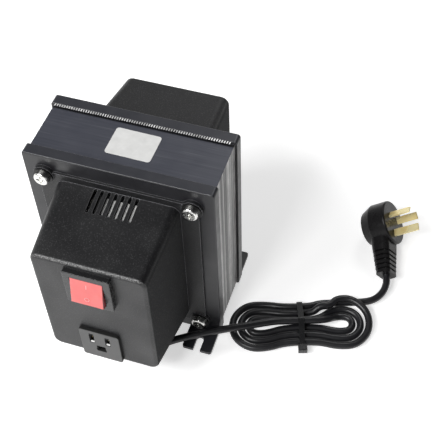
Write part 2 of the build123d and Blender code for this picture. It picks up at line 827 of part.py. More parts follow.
# Cable tie: a flat band drawn round the waist, with its head at the front
tie_plane = Plane(origin=in_hank(-tie_width / 2, 0), x_dir=hank_across, z_dir=hank_along)
waist_edge = strand_pitch * (len(loop_radii) - 1 / 2)
band_inner = cord / 2 + tie_play
band_spots = [(-waist_edge, waist_lift), (waist_edge, waist_lift), (0, lead_top)]
with BuildPart() as cable_tie:
    with BuildSketch(tie_plane):
        with Locations(*band_spots):
            Circle(band_inner + tie_thickness)
        make_hull()
    extrude(amount=tie_width)
    with BuildSketch(tie_plane.offset((tie_width - tie_head_width) / 2)):
        with Locations((-waist_edge - band_inner - tie_head_length / 2, waist_lift)):
            RectangleRounded(tie_head_length, tie_head_height, tie_thickness / 2)
    extrude(amount=tie_head_width)
    with BuildSketch(tie_plane.offset(-tie_width)):
        with Locations(*band_spots):
            Circle(band_inner)
        make_hull()
    extrude(amount=3 * tie_width, mode=Mode.SUBTRACT)
save(cable_tie, "cable_tie")

# Plug: a right-angle body that lies tilted on the surface, with its pins up to the right
lean_back = math.radians(plug_tilt)
heading = math.radians(plug_turn)
roll = math.radians(plug_roll)
pin_out = Vector(
    math.cos(lean_back) * math.cos(heading), math.cos(lean_back) * math.sin(heading), math.sin(lean_back)
)
level = pin_out.cross(Vector(0, 0, 1)).normalized()
relief_out = level * math.sin(roll) - level.cross(pin_out) * math.cos(roll)
plug_z = plug_floor_gap + max(
    plug_front * math.sin(lean_back) + plug_radius * math.cos(lean_back),
    plug_back * math.sin(lean_back) + plug_back_radius * math.cos(lean_back),
)
plug_plane = Plane(origin=(plug_x, plug_y, plug_z), x_dir=relief_out, z_dir=pin_out)
neck_plane = Plane(
    origin=plug_plane.from_local_coords(Vector(0, 0, -neck_sunk)), x_dir=pin_out, z_dir=relief_out
)
with BuildPart() as plug_body:
    with BuildSketch(Plane(origin=plug_plane.origin, x_dir=relief_out, z_dir=-plug_plane.y_dir)):
        with BuildLine():
            Polyline(
                (0, 0),
                (plug_radius, 0),
                (plug_radius, -plug_front),
                (plug_back_radius, -plug_back),
                (0, -plug_back),
                close=True,
            )
        make_face()
    revolve(axis=Axis(plug_plane.origin, pin_out))
    fillet(plug_body.edges().filter_by(GeomType.CIRCLE), plug_edge)
    with BuildSketch(neck_plane.offset(neck_start)):
        RectangleRounded(neck_height, neck_width, neck_height / 3)
    with BuildSketch(neck_plane.offset(neck_end)):
        RectangleRounded(relief_height, relief_width, relief_height / 3)
    loft()
save(plug_body, "plug_body")

# Strain relief: a tapered core with broad ribs, on the lead at the plug
rib_pitch = relief_length / relief_ribs
core_heights = (relief_height - rib_depth, relief_end_height - rib_depth)
core_widths = (relief_width - 2 * rib_depth, relief_end_width - 2 * rib_depth)
with BuildPart() as plug_relief:
    with BuildSketch(neck_plane.offset(neck_end)):
        RectangleRounded(core_heights[0], core_widths[0], core_heights[0] / 4)
    with BuildSketch(neck_plane.offset(neck_end + relief_length)):
        RectangleRounded(core_heights[1], core_widths[1], core_heights[1] / 4)
    loft()
    for rib in range(relief_ribs):
        taper = (rib + 1) / relief_ribs
        rib_width = relief_width + (relief_end_width - relief_width) * taper
        rib_height = relief_height + (relief_end_height - relief_height) * taper
        with BuildSketch(neck_plane.offset(neck_end + rib_pitch * (rib + 1 - rib_share))):
            RectangleRounded(rib_height, rib_width, rib_height / 3)
        extrude(amount=rib_pitch * rib_share)
save(plug_relief, "plug_relief")

# Pins: two flat ones that slant towards each other, and a longer earth pin on the lead's side
with BuildPart() as plug_pins:
    for across, along, slant, length in (
        (-line_pitch / 2, -line_rise, -pin_slant, line_pin),
        (line_pitch / 2, -line_rise, pin_slant, line_pin),
        (0, earth_reach, 0, earth_pin),
    ):
        with BuildSketch(plug_plane):
            with Locations((along, across)):
                Rectangle(pin_width, pin_thickness, rotation=slant)
        extrude(amount=length)
        tip = plug_pins.faces(Select.LAST).sort_by(Axis(plug_plane.origin, pin_out))[-1]
        chamfer(tip.edges(), pin_chamfer)
save(plug_pins, "plug_pins")

# Lead from the hank to the plug
relief_end = neck_plane.origin + relief_out * (neck_end + relief_length)
plug_route = [
    in_hank(far, loop_radii[-1]),
    in_hank(43.6, 20.6),
    in_hank(51.6, 20.75),
    in_hank(57.8, 21.1, 0.4),
    in_hank(62.9, 22.3, 1.3),
    in_hank(67.1, 24.6, 2.5),
    in_hank(70.5, 27.9, 3.8),
    in_hank(73.0, 32.0, 5.1),
    relief_end + relief_out * plug_straight,
    relief_end,
]
plug_radii = tube_radii(plug_route)
print("plug lead radii:", [round(radius, 1) for radius in plug_radii])
with BuildPart() as plug_cord:
    with BuildLine() as plug_line:
        FilletPolyline(*plug_route, radius=plug_radii)
    plug_path = plug_line.wires()[0]
    with BuildSketch(Plane(origin=plug_path @ 0, z_dir=plug_path % 0)):
        Circle(cord / 2)
    sweep(path=plug_path)
save(plug_cord, "plug_cord")
print("plug lead length:", round(plug_path.length, 1))
print("plug lead volume ratio:", round(plug_cord.part.volume / section / plug_path.length, 4))

# Inside the front cap: the end of the lead's sheath, and the insulated wires
sheath_end = bush_plane.offset(-bush_inside - sheath_tail)
with BuildPart() as lead_sheath:
    with BuildSketch(bush_plane.offset(bush_lip)):
        Circle(cord / 2)
    extrude(amount=-bush_lip - bush_inside - sheath_tail)
save(lead_sheath, "lead_sheath")


def wire(label, *route):
    """An insulated wire along a route inside the front cap."""
    with BuildPart() as lead:
        with BuildLine() as line:
            FilletPolyline(*route, radius=wire_bend)
        path = line.wires()[0]
        with BuildSketch(Plane(origin=path @ 0, z_dir=path % 0)):
            Circle(wire_width / 2)
        sweep(path=path)
    save(lead, label)


# Where the wires start and end
coil_front = core_y - taped_y / 2
switch_tab_end = base_y + housing_base + tab_length
lower_tab_z = switch_z - contact_length / 2 + tab_thickness
outlet_tab_end = outlet_end + tab_length
blades_z = outlet_z + blade_rise
earth_z = outlet_z - earth_drop
inward = -bush_down
front_core = sheath_end.from_local_coords(Vector(wire_spread / 2, wire_spread, 0))
back_core = sheath_end.from_local_coords(Vector(wire_spread / 2, -wire_spread, 0))
left_core = sheath_end.from_local_coords(Vector(-wire_spread, 0, 0))

wire(
    "wire_live",
    front_core,
    front_core + inward * wire_straight,
    Vector(23.0, -57.5, 56.0),
    Vector(3.0, -58.0, 110.0),
    Vector(switch_x, switch_tab_end + 1.3 * wire_straight, lower_tab_z),
    Vector(switch_x, switch_tab_end, lower_tab_z),
)
wire(
    "wire_neutral",
    back_core,
    back_core + inward * wire_straight,
    Vector(27.8, -53.0, 52.0),
    Vector(neutral_tap_x, coil_front - wire_straight, neutral_tap_z),
    Vector(neutral_tap_x, coil_front, neutral_tap_z),
)
wire(
    "wire_earth",
    left_core,
    left_core + inward * wire_straight,
    Vector(21.0, -55.0, 44.5),
    Vector(4.0, -53.8, 43.6),
    Vector(outlet_x, outlet_tab_end + wire_straight, earth_z),
    Vector(outlet_x, outlet_tab_end, earth_z),
)
wire(
    "wire_switch",
    Vector(switch_x, switch_tab_end, switch_z),
    Vector(switch_x, switch_tab_end + 1.6 * wire_straight, switch_z),
    Vector(switch_tap_x, coil_front - wire_straight, switch_tap_z),
    Vector(switch_tap_x, coil_front, switch_tap_z),
)
for side, label in ((1, "wire_outlet_live"), (-1, "wire_outlet_neutral")):
    tab_x = outlet_x + side * blade_x
    wire(
        label,
        Vector(tab_x, outlet_tab_end, blades_z),
        Vector(tab_x, outlet_tab_end + wire_straight, blades_z),
        Vector(2 * tab_x, coil_front - wire_straight, blades_z + 2 * wire_straight),
        Vector(2 * tab_x, coil_front, blades_z + 2 * wire_straight),
    )
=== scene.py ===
# %% [markdown]
# # Travel voltage converter
# The solids of this step-down transformer come packed from the CAD model. This lesson loads
# them as a fixed frame, lays the mains lead as one smooth curve, adds the few pieces that are
# too fine for CAD and gives every surface its finish. All lengths are in metres.

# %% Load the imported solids
import math

import bmesh
import bpy
from mathutils import Matrix, Vector


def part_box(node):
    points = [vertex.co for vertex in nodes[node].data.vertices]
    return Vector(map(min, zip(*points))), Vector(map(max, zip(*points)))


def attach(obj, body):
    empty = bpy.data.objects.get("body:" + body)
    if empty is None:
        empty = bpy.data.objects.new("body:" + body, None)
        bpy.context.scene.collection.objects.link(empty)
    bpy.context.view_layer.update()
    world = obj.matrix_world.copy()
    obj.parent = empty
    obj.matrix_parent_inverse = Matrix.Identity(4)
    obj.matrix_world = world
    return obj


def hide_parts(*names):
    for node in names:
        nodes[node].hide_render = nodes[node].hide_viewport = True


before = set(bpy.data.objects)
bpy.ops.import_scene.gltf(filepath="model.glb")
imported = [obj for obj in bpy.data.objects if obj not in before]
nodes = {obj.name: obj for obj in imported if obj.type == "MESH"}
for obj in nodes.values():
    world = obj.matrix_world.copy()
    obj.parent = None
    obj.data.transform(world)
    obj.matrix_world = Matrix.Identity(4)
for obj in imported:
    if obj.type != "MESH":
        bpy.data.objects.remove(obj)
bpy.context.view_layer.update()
print("solids:", len(nodes))

# %% [markdown]
# ## Camera
# The photograph was taken from above and to the right with a long lens. Its place, aim and
# focal length were worked out from the edges of the core and the end frames, so the camera is
# placed by numbers. A small shift puts the lens axis where it lies in the photograph.

# %% Camera
MM = 0.001
camera_place = Vector((211.66, -405.55, 658.91)) * MM
camera_azimuth = math.radians(19.201)
camera_height = math.radians(51.868)
camera_roll = math.radians(-1.783)
photo_width = 448
focal_pixels = 937.42
axis_column = 225.72
axis_row = 224.44

away = Vector((
    math.sin(camera_azimuth) * math.cos(camera_height),
    -math.cos(camera_azimuth) * math.cos(camera_height),
    math.sin(camera_height),
))
level_right = (-away).cross(Vector((0, 0, 1))).normalized()
level_up = level_right.cross(-away)
right = math.cos(camera_roll) * level_right + math.sin(camera_roll) * level_up
up = math.cos(camera_roll) * level_up - math.sin(camera_roll) * level_right

lens = bpy.data.cameras.new("photo_camera")
lens.sensor_width = 36
lens.lens = lens.sensor_width * focal_pixels / photo_width
lens.shift_x = (photo_width / 2 - axis_column) / photo_width
lens.shift_y = (axis_row - photo_width / 2) / photo_width
lens.clip_start = 0.01
camera = bpy.data.objects.new("photo_camera", lens)
axes = Matrix((right, up, away)).transposed()
camera.matrix_world = Matrix.Translation(camera_place) @ axes.to_4x4()
bpy.context.scene.collection.objects.link(camera)
bpy.context.scene.camera = camera
print("lens:", round(lens.lens, 1), "mm")

# %% [markdown]
# ## Mains lead
# One flexible cord runs from the bush under the front cap to the plug. It lies over the left
# loops of a tied hank, goes three times round it from the inside outwards, and leaves under
# the outer loop. A cord is easiest to make as a curve: a NURBS spline of order 3 rounds off
# every control point, so a bend needs only the points a hand would mark on paper. The round
# ends of the hank take four points each, and each strand's sideways step takes two.

# %% Lead: sizes and places
cord = 6.0 * MM
hank_middle = Vector((133.0, -1.2, 3.0)) * MM
hank_turn = math.radians(19.0)
hank_along = Vector((math.cos(hank_turn), math.sin(hank_turn), 0))
hank_across = Vector((-math.sin(hank_turn), math.cos(hank_turn), 0))
reach = 35.1 * MM
loop_radii = [7.0 * MM, 13.8 * MM, 20.6 * MM]
strand_pitch = 6.75 * MM
waist_half = 6.0 * MM
waist_lift = 1.5 * MM
layer_rise = 6.5 * MM
lead_start = 12.0 * MM
lead_end = 13.0 * MM
lead_top = waist_lift + math.sqrt(layer_rise**2 - (strand_pitch / 2) ** 2)
climb = (waist_half + reach) / 2


def in_hank(along, across, height=0.0):
    """A point of the hank, along its length, across it and above its lowest strands."""
    return hank_middle + hank_along * along + hank_across * across + Vector((0, 0, height))


def step_points(start, end):
    """The two control points of a strand's sideways step from start to end."""
    chord = end - start
    ahead = hank_along * chord.dot(hank_along)
    reach_in = ahead * (chord.length / ahead.length) ** 2 / 4
    return [start + reach_in, end - reach_in]


def round_end(side, radius, start_height=0.0):
    """Four control points round one end of the hank. side is 1 at the right and -1 at the left."""
    eighth = math.radians(22.5)
    points = []
    for place in range(4):
        angle = math.radians(90) - eighth * (2 * place + 1)
        height = start_height * (1 + math.sin(angle)) / 2
        spread = radius / math.cos(eighth)
        points.append(in_hank(
            side * (reach + spread * math.cos(angle)),
            side * spread * math.sin(angle),
            height,
        ))
    return points


# %% Lead: the route
bush_down = Vector((0, -0.170807, -0.985304))
bush_exit = Vector((28.0, -59.123, 23.044)) * MM
supply_points = [
    bush_exit,
    bush_exit + bush_down * 5.0 * MM,
    Vector((29.5, -58.4, 12.4)) * MM,
    Vector((33.6, -54.9, 10.2)) * MM,
    Vector((39.6, -49.6, 10.2)) * MM,
    Vector((50.4, -42.8, 10.8)) * MM,
    Vector((64.0, -35.2, 11.8)) * MM,
    Vector((79.6, -26.9, 12.2)) * MM,
    Vector((94.0, -19.0, 11.4)) * MM,
    Vector((107.8, -11.2, 10.8)) * MM,
    in_hank(-lead_start - 9.0 * MM, 0, lead_top),
    in_hank(-lead_start, 0, lead_top),
]

hank_points = [in_hank(0, 0, lead_top)]
hank_points += step_points(in_hank(lead_end, 0, lead_top), in_hank(reach, loop_radii[0]))
for loop, radius in enumerate(loop_radii):
    waist = strand_pitch * (loop + 0.5)
    outer = loop == len(loop_radii) - 1
    hank_points += round_end(1, radius, layer_rise if outer else 0)
    hank_points += step_points(in_hank(reach, -radius), in_hank(waist_half, -waist, waist_lift))
    hank_points += step_points(in_hank(-waist_half, -waist, waist_lift), in_hank(-reach, -radius))
    hank_points += round_end(-1, radius)
    hank_points += step_points(in_hank(-reach, radius), in_hank(-waist_half, waist, waist_lift))
    waist_exit = in_hank(waist_half, waist, waist_lift)
    if outer:
        hank_points += step_points(waist_exit, in_hank(climb, radius))
    elif loop == len(loop_radii) - 2:
        crossing = in_hank(climb, loop_radii[-1] - strand_pitch, layer_rise)
        hank_points += step_points(waist_exit, crossing)
        hank_points += step_points(crossing, in_hank(reach, loop_radii[-1], layer_rise))
    else:
        hank_points += step_points(waist_exit, in_hank(reach, loop_radii[loop + 1]))

print("control points:", len(supply_points), "to the hank and", len(hank_points), "in it")
plug_points = [
    in_hank(reach, loop_radii[-1]),
    in_hank(43.6 * MM, 20.6 * MM),
    in_hank(51.6 * MM, 20.75 * MM),
    in_hank(57.8 * MM, 21.1 * MM, 0.4 * MM),
    in_hank(62.9 * MM, 22.3 * MM, 1.3 * MM),
    in_hank(67.1 * MM, 24.6 * MM, 2.5 * MM),
    in_hank(70.5 * MM, 27.9 * MM, 3.8 * MM),
    in_hank(73.0 * MM, 32.0 * MM, 5.1 * MM),
    Vector((191.476, 57.717, 9.328)) * MM,
    Vector((189.934, 62.778, 10.412)) * MM,
]

# %% Lead: the curve
lead_curve = bpy.data.curves.new("mains_lead", "CURVE")
lead_curve.dimensions = "3D"
lead_curve.bevel_depth = 1
lead_curve.bevel_resolution = 5
lead_curve.resolution_u = 6
lead_curve.use_fill_caps = True
spline = lead_curve.splines.new("NURBS")
lead_points = supply_points + hank_points + plug_points
spline.points.add(len(lead_points) - 1)
for point, place in zip(spline.points, lead_points):
    point.co = (*place, 1)
    point.radius = cord / 2
spline.order_u = 3
spline.use_endpoint_u = True
mains_lead = bpy.data.objects.new("mains_lead", lead_curve)
bpy.context.scene.collection.objects.link(mains_lead)

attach(mains_lead, "converter")
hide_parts("mains_cord", "cord_hank", "plug_cord")

# %% [markdown]
# ## Finishes
# Every finish is one Principled shader with a little life in it. The grain of a moulding and
# the texture of a paint are a noise that is read in object coordinates, so its size is a real
# size, and a bump node turns it into light and shade. Many edges are painted lighter as a
# painted highlight, and the Bevel node finds them: where its rounded normal differs from the
# true one, there is an edge. Other helpers find a spot by its place on the part or by the way its
# surface faces, for painted light and shade: lighter tops, a lighter face with darker sides,
# dark mouths and a dark band.

# %% Finish helpers
def new_finish(name, colour, roughness, metallic=0.0, coat=0.0, specular=0.5):
    """A plain finish: the material, its node tree and its shader."""
    finish = bpy.data.materials.new(name)
    finish.use_nodes = True
    tree = finish.node_tree
    shader = tree.nodes["Principled BSDF"]
    shader.inputs["Base Color"].default_value = (*colour, 1)
    shader.inputs["Roughness"].default_value = roughness
    shader.inputs["Metallic"].default_value = metallic
    shader.inputs["Specular IOR Level"].default_value = specular
    shader.inputs["Coat Weight"].default_value = coat
    return finish, tree, shader


def noise(tree, size, detail=2.0, stretch=(1, 1, 1)):
    """The strength of a noise whose blobs are about size across, drawn out along stretch."""
    place = tree.nodes.new("ShaderNodeTexCoord")
    mapping = tree.nodes.new("ShaderNodeMapping")
    mapping.inputs["Scale"].default_value = [1 / (size * share) for share in stretch]
    pattern = tree.nodes.new("ShaderNodeTexNoise")
    pattern.inputs["Scale"].default_value = 1
    pattern.inputs["Detail"].default_value = detail
    tree.links.new(place.outputs["Object"], mapping.inputs["Vector"])
    tree.links.new(mapping.outputs["Vector"], pattern.inputs["Vector"])
    return pattern.outputs["Fac"]


def ramp(tree, strength, *stops):
    """A colour for each strength. A stop is a place and a grey value or a colour."""
    colours = tree.nodes.new("ShaderNodeValToRGB")
    row = colours.color_ramp.elements
    while len(row) < len(stops):
        row.new(0.5)
    for element, (place, colour) in zip(row, stops):
        element.position = place
        element.color = (*colour, 1) if isinstance(colour, tuple) else (colour, colour, colour, 1)
    tree.links.new(strength, colours.inputs["Fac"])
    return colours.outputs["Color"]


def vary(tree, shader, channel, size, detail, low, high):
    """Lets a channel of the shader vary softly between two values, in blobs of a size."""
    shades = ramp(tree, noise(tree, size, detail=detail), (0.3, low), (0.7, high))
    tree.links.new(shades, shader.inputs[channel])


def blend(tree, share, first, second):
    """Two colours mixed by a share. Each is a socket or a plain colour."""
    mix = tree.nodes.new("ShaderNodeMix")
    mix.data_type = "RGBA"
    sockets = [socket for socket in mix.inputs if socket.type == "RGBA"]
    for socket, colour in zip(sockets, (first, second)):
        if isinstance(colour, tuple):
            socket.default_value = (*colour, 1)
        else:
            tree.links.new(colour, socket)
    tree.links.new(share, mix.inputs[0])
    return [socket for socket in mix.outputs if socket.type == "RGBA"][0]


def bump(tree, shader, strength, depth):
    """Raises the surface by up to depth where strength is high."""
    relief = tree.nodes.new("ShaderNodeBump")
    relief.inputs["Distance"].default_value = depth
    tree.links.new(strength, relief.inputs["Height"])
    tree.links.new(relief.outputs["Normal"], shader.inputs["Normal"])


def between(tree, value, low, high):
    """A strength that goes from 0 to 1 while a value goes from low to high."""
    level = tree.nodes.new("ShaderNodeMapRange")
    level.inputs["From Min"].default_value = low
    level.inputs["From Max"].default_value = high
    tree.links.new(value, level.inputs["Value"])
    return level.outputs["Result"]


def edges(tree, width):
    """A strength that is 1 on convex and concave edges and 0 on flats."""
    alike_on_flat, alike_on_edge = 0.98, 0.7
    rounded = tree.nodes.new("ShaderNodeBevel")
    rounded.samples = 4
    rounded.inputs["Radius"].default_value = width
    true = tree.nodes.new("ShaderNodeNewGeometry")
    compare = tree.nodes.new("ShaderNodeVectorMath")
    compare.operation = "DOT_PRODUCT"
    tree.links.new(rounded.outputs["Normal"], compare.inputs[0])
    tree.links.new(true.outputs["Normal"], compare.inputs[1])
    return between(tree, compare.outputs["Value"], alike_on_flat, alike_on_edge)


def multiply(tree, first, second):
    """Two strengths multiplied."""
    product = tree.nodes.new("ShaderNodeMath")
    product.operation = "MULTIPLY"
    tree.links.new(first, product.inputs[0])
    tree.links.new(second, product.inputs[1])
    return product.outputs["Value"]


def place_along(tree, axis):
    """How far along an axis of the part a spot of the surface lies."""
    spot = tree.nodes.new("ShaderNodeTexCoord")
    split = tree.nodes.new("ShaderNodeSeparateXYZ")
    tree.links.new(spot.outputs["Object"], split.inputs["Vector"])
    return split.outputs[axis]


def within(tree, value, middle, reach):
    """A strength that is 1 where a value lies no further than reach from the middle."""
    near = tree.nodes.new("ShaderNodeMath")
    near.operation = "COMPARE"
    near.inputs[1].default_value = middle
    near.inputs[2].default_value = reach
    tree.links.new(value, near.inputs[0])
    return near.outputs["Value"]


def normal_along(tree, axis):
    """How far the surface faces along an axis of the part, from -1 to 1."""
    surface = tree.nodes.new("ShaderNodeNewGeometry")
    split = tree.nodes.new("ShaderNodeSeparateXYZ")
    tree.links.new(surface.outputs["Normal"], split.inputs["Vector"])
    return split.outputs[axis]


def turned_to(tree, axis, low, high):
    """A strength that goes from 0 to 1 while normal_along goes from low to high."""
    return between(tree, normal_along(tree, axis), low, high)


def dress(finish, *names):
    """Gives CAD nodes a finish."""
    for name in names:
        node = nodes[name]
        if not node.material_slots:
            node.data.materials.append(finish)
        for slot in node.material_slots:
            slot.material = finish


# %% [markdown]
# ## Black mouldings
# The caps come from a mould with a fine spark-eroded grain. Its glints are painted into the
# colour as light speckles, crowded by a painted highlight on the front cap's rounded upper edge,
# and the edges carry a painted highlight. A brighter painted highlight lines the rim of the
# front cap's flange, and the right flanks are duller than the rest.

# %% Caps
cap_finish, tree, shader = new_finish("cap_grain", (0.008, 0.008, 0.009), 0.42, specular=0.5)
grain_size = 0.9 * MM
grain = noise(tree, grain_size, detail=3)
speckle = noise(tree, grain_size, detail=1)
# Painted glints: light speckles in the colour stand in for the glints of the grain.
speckled_glints = ramp(tree, speckle, (0.58, (0.006, 0.006, 0.007)), (0.7, (0.036, 0.036, 0.038)))
# Painted highlight: the edges are painted lighter.
colour = blend(tree, edges(tree, 1.0 * MM), speckled_glints, (0.085, 0.085, 0.088))
# Painted highlight: brighter speckles on faces that look up and forward, the rounded upper edge.
rounded = multiply(tree, turned_to(tree, "Z", 0.3, 0.6), turned_to(tree, "Y", -0.3, -0.6))
upper_edge_glints = ramp(tree, speckle, (0.4, 0.03), (0.66, 0.2))
colour = blend(tree, rounded, colour, upper_edge_glints)
cap_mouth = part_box("front_cap")[1][1]
flange_reach = 3.5 * MM
on_flange = within(tree, place_along(tree, "Y"), cap_mouth, flange_reach)
# Painted highlight: a pale line along the edges of the front cap's flange.
flange_highlight = multiply(tree, edges(tree, 0.5 * MM), on_flange)
colour = blend(tree, flange_highlight, colour, (0.3, 0.3, 0.32))
tree.links.new(colour, shader.inputs["Base Color"])
patches = noise(tree, 40 * MM, detail=2)
dullness = ramp(tree, patches, (0.35, 0.40), (0.65, 0.52))
dullness = blend(tree, turned_to(tree, "X", 0.8, 0.95), dullness, (0.9, 0.9, 0.9))
tree.links.new(dullness, shader.inputs["Roughness"])
bump(tree, shader, grain, 0.12 * MM)
dress(cap_finish, "front_cap", "rear_cap")

# %% [markdown]
# ## Painted steel frames
# The end frames are pressed steel with satin black paint. Their edges show as pale lines,
# partly a painted highlight and partly paint thinned by handling, with a few chips. Faces that
# look up are painted a little lighter, as painted light from above.

# %% End frames
frame_finish, tree, shader = new_finish("frame_paint", (0.01, 0.01, 0.011), 0.33, specular=0.5)
chips = ramp(tree, noise(tree, 1.6 * MM, detail=3), (0.42, 0.25), (0.62, 1.0))
# Pale edges: partly a painted highlight, partly paint thinned on the edges with a few chips.
edge_highlight_and_wear = multiply(tree, edges(tree, 0.4 * MM), chips)
clouds = noise(tree, 18 * MM, detail=3)
shade = ramp(tree, clouds, (0.3, (0.01, 0.01, 0.012)), (0.7, (0.017, 0.017, 0.02)))
# Painted light: faces that look up are painted lighter.
lighter_tops = blend(tree, turned_to(tree, "Z", 0.5, 0.95), shade, (0.035, 0.036, 0.043))
tree.links.new(blend(tree, edge_highlight_and_wear, lighter_tops, (0.32, 0.32, 0.34)), shader.inputs["Base Color"])
vary(tree, shader, "Roughness", 9 * MM, 4, 0.28, 0.42)
bump(tree, shader, noise(tree, 0.7 * MM, detail=2), 0.02 * MM)
dress(frame_finish, "front_frame", "rear_frame")

# %% [markdown]
# ## Core
# The core is a pack of thin sheets that stand on edge, one behind the other, cut from steel
# with a blue-black oxide. On the top varnish has closed them, with faint drag lines from left to
# right, and a painted shadow lies along the foot of the rear rim. At the sides their cut edges
# show as fine upright lines in grey and black, their pale grey partly raised as painted light.
# The finish mixes the two by how far the surface faces sideways.

# %% Core
core_finish, tree, shader = new_finish("core_sheets", (0.02, 0.02, 0.025), 0.35, specular=0.6)
either_side = tree.nodes.new("ShaderNodeMath")
either_side.operation = "ABSOLUTE"
tree.links.new(normal_along(tree, "X"), either_side.inputs[0])
sideways = either_side.outputs["Value"]

drags = noise(tree, 1.1 * MM, detail=4, stretch=(60, 1, 1))
varnish = ramp(
    tree,
    drags,
    (0.3, (0.046, 0.049, 0.064)),
    (0.66, (0.06, 0.063, 0.08)),
    (0.78, (0.12, 0.125, 0.14)),
)
# Painted shadow: the top turns near black just in front of the rear rim.
rim_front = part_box("rear_frame")[0][1]
shade_start = rim_front - 2.6 * MM
shade_full = rim_front - 2.0 * MM
painted_rim_shadow = between(tree, place_along(tree, "Y"), shade_start, shade_full)
varnish = blend(tree, painted_rim_shadow, varnish, (0.006, 0.006, 0.008))
sheets = noise(tree, 0.9 * MM, detail=2, stretch=(1, 1, 200))
bands = noise(tree, 7 * MM, detail=1, stretch=(1, 1, 60))
blotches = noise(tree, 14 * MM, detail=3)
thin = ramp(tree, sheets, (0.32, 0.08), (0.46, 0.85), (0.64, 1.0))
broad = ramp(tree, bands, (0.36, 0.12), (0.56, 1.0))
streaks = multiply(tree, multiply(tree, thin, broad), ramp(tree, blotches, (0.3, 0.55), (0.6, 1.0)))
# The pale grey of the cut edges is partly their own colour, partly painted light.
cut = ramp(tree, streaks, (0.0, (0.01, 0.01, 0.012)), (1.0, (0.95, 0.94, 0.93)))
tree.links.new(blend(tree, sideways, varnish, cut), shader.inputs["Base Color"])
tree.links.new(ramp(tree, blotches, (0.3, 0.30), (0.7, 0.44)), shader.inputs["Roughness"])
bump(tree, shader, multiply(tree, sheets, sideways), 0.05 * MM)
dress(core_finish, "e_laminations", "i_laminations")

# %% [markdown]
# ## Small parts
# Bolts and nuts are zinc plated: nearly mirror bright, with a soft unevenness. The washers are
# blackened steel. The plug's pins and the contacts are bright brass, with a film of oxide that
# takes away some of the mirror, and a painted highlight on their edges.

# %% Bolts, nuts and pins
zinc_finish, tree, shader = new_finish("zinc_plate", (0.72, 0.72, 0.7), 0.22, metallic=1.0)
vary(tree, shader, "Roughness", 2.2 * MM, 3, 0.12, 0.34)
bump(tree, shader, noise(tree, 0.8 * MM, detail=2), 0.02 * MM)
dress(zinc_finish, "core_bolts", "bolt_nuts")

black_steel = (0.02, 0.02, 0.02)
washer_finish, tree, shader = new_finish("blackened_steel", black_steel, 0.35, metallic=0.6)
bump(tree, shader, noise(tree, 0.6 * MM, detail=2), 0.01 * MM)
dress(washer_finish, "front_washers", "rear_washers")

brass_finish, tree, shader = new_finish("bright_brass", (0.83, 0.6, 0.24), 0.2, metallic=0.4)
tarnish = noise(tree, 9 * MM, detail=1)
brass = ramp(tree, tarnish, (0.35, (0.86, 0.69, 0.3)), (0.6, (1.0, 0.88, 0.5)))
# Painted highlight: the edges of the pins and contacts are painted pale.
brass = blend(tree, edges(tree, 0.35 * MM), brass, (1.0, 0.93, 0.7))
tree.links.new(brass, shader.inputs["Base Color"])
tree.links.new(ramp(tree, tarnish, (0.3, 0.34), (0.7, 0.22)), shader.inputs["Roughness"])
dress(brass_finish, "plug_pins", "outlet_contacts", "switch_contact", "switch_terminals")

# %% [markdown]
# ## Black plastics
# The switch housing and the tie are hard and glossy, the plug is a little softer, and the lead's
# rubber is the dullest. They differ in how dark they are and how they scatter the light, and
# the switch housing and the tie carry a painted highlight on their edges.

# %% Plastics and rubber
gloss_finish, tree, shader = new_finish("gloss_black", (0.012, 0.012, 0.013), 0.25, specular=0.55)
vary(tree, shader, "Roughness", 6 * MM, 3, 0.2, 0.32)
# Painted highlight: the edges are painted lighter.
glossy_edge_highlight = blend(tree, edges(tree, 0.35 * MM), (0.012, 0.012, 0.013), (0.045, 0.045, 0.047))
tree.links.new(glossy_edge_highlight, shader.inputs["Base Color"])
bump(tree, shader, noise(tree, 0.5 * MM, detail=2), 0.008 * MM)
dress(gloss_finish, "switch_housing", "cable_tie")

plug_finish, tree, shader = new_finish("plug_black", (0.012, 0.0115, 0.012), 0.3, specular=0.2)
vary(tree, shader, "Roughness", 9 * MM, 3, 0.2, 0.34)
bump(tree, shader, noise(tree, 0.6 * MM, detail=3), 0.02 * MM)
dress(plug_finish, "plug_body", "plug_relief")

rubber_finish, tree, shader = new_finish("soft_black", (0.013, 0.013, 0.015), 0.38, specular=0.5)
vary(tree, shader, "Roughness", 9 * MM, 3, 0.3, 0.42)
bump(tree, shader, noise(tree, 0.6 * MM, detail=3), 0.02 * MM)
dress(rubber_finish, "cord_bush", "lead_sheath")
mains_lead.data.materials.append(rubber_finish)

# %% [markdown]
# ## Outlet
# The outlet's face is a grey, slightly shiny moulding, with a painted highlight along its upper
# edge. Its flanks and the mouths of its holes carry painted shade, so the finish is black and
# fully rough there. A slot's painted mouth is an upright rectangle at its place on the plate, and
# the earth hole's painted mouth is a round spot with a flat foot.

# %% Outlet: the places of painted shade
plate_low, plate_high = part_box("outlet_body")
plate_middle = (Vector(plate_low) + Vector(plate_high)) / 2
outlet_finish, tree, shader = new_finish("outlet_grey", (0.035, 0.036, 0.04), 0.4, specular=0.6)


def patch(tree, middle_x, reach_x, middle_z, reach_z):
    """A strength that is 1 in an upright rectangle, as seen from the front."""
    return multiply(
        tree,
        within(tree, place_along(tree, "X"), middle_x, reach_x),
        within(tree, place_along(tree, "Z"), middle_z, reach_z),
    )


skin = 0.12 * MM
plate_depth = plate_high[1] - plate_low[1]
holes_reach_x, holes_reach_z = 14 * MM, 15.5 * MM
# Painted shade: black, fully rough spots in the holes, on the flanks and round the slots and the
# earth hole.
holes = patch(tree, plate_middle.x, holes_reach_x, plate_middle.z, holes_reach_z)
sunk = within(tree, place_along(tree, "Y"), plate_high[1], plate_depth - skin)
flanks = turned_to(tree, "Y", -0.75, -0.4)
slot_reach_x = 1.7 * MM
neutral_slot = patch(tree, -6.95 * MM, slot_reach_x, 56.2 * MM, 6.0 * MM)
live_slot = patch(tree, 5.75 * MM, slot_reach_x, 56.0 * MM, 5.4 * MM)

